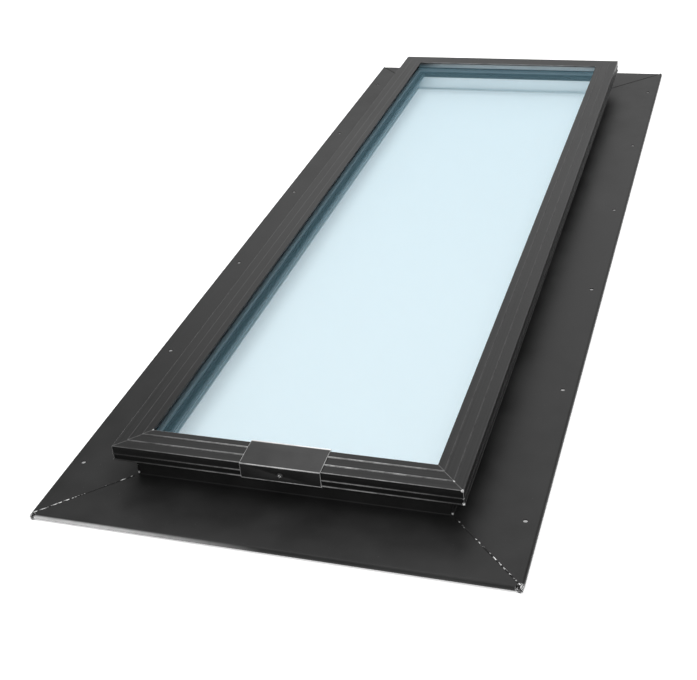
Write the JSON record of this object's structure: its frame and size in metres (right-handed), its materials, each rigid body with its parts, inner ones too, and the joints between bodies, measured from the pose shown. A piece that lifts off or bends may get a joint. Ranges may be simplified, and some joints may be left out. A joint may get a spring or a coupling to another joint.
{
  "type": "roof skylight",
  "caption": "Fixed, self-flashing roof skylight: a sealed tinted double-glazed unit in a stepped dark metal cap frame, on a welded flashing pan with a rolled rim.",
  "frame": {"origin": "on the roof deck, in the middle of the light opening, level with the underside of the rolled rims", "axes": "+X across the slope, +Y up the slope from sill to head (the long way), +Z out of the roof"},
  "size_m": [0.639, 1.655, 0.0687],
  "materials": {
    "bronze_paint": "satin dark bronze paint on aluminium sheet and extrusion",
    "weld_metal": "dressed weld metal showing through worn paint",
    "mill_aluminium": "bare mill finish",
    "tinted_glass": "clear float glass with a light blue tint",
    "sealant": "matte glazing sealant",
    "glazing_tape": "matte grey closed-cell foam tape",
    "rubber": "matte black rubber",
    "screw_steel": "zinc-plated pan head"
  },
  "bodies": {
    "root": {"flashing_sill": "bronze_paint", "flashing_head": "bronze_paint", "flashing_left": "bronze_paint", "flashing_right": "bronze_paint", "corner_welds": "weld_metal", "curb_sealant": "sealant", "base_rail_sill": "bronze_paint", "base_rail_head": "bronze_paint", "base_rail_left": "bronze_paint", "base_rail_right": "bronze_paint", "base_corner_keys": "mill_aluminium", "glazing_tape_sill": "glazing_tape", "glazing_tape_head": "glazing_tape", "glazing_tape_left": "glazing_tape", "glazing_tape_right": "glazing_tape", "inner_pane": "tinted_glass", "spacer_bar": "mill_aluminium", "edge_sealant": "sealant", "outer_pane": "tinted_glass", "setting_blocks": "rubber", "gasket_sill": "rubber", "gasket_head": "rubber", "gasket_left": "rubber", "gasket_right": "rubber", "cap_sill": "bronze_paint", "cap_head": "bronze_paint", "cap_left": "bronze_paint", "cap_right": "bronze_paint", "cap_corner_keys": "mill_aluminium", "sill_clip": "bronze_paint", "clip_screw": "screw_steel"}
  },
  "joints": []
}
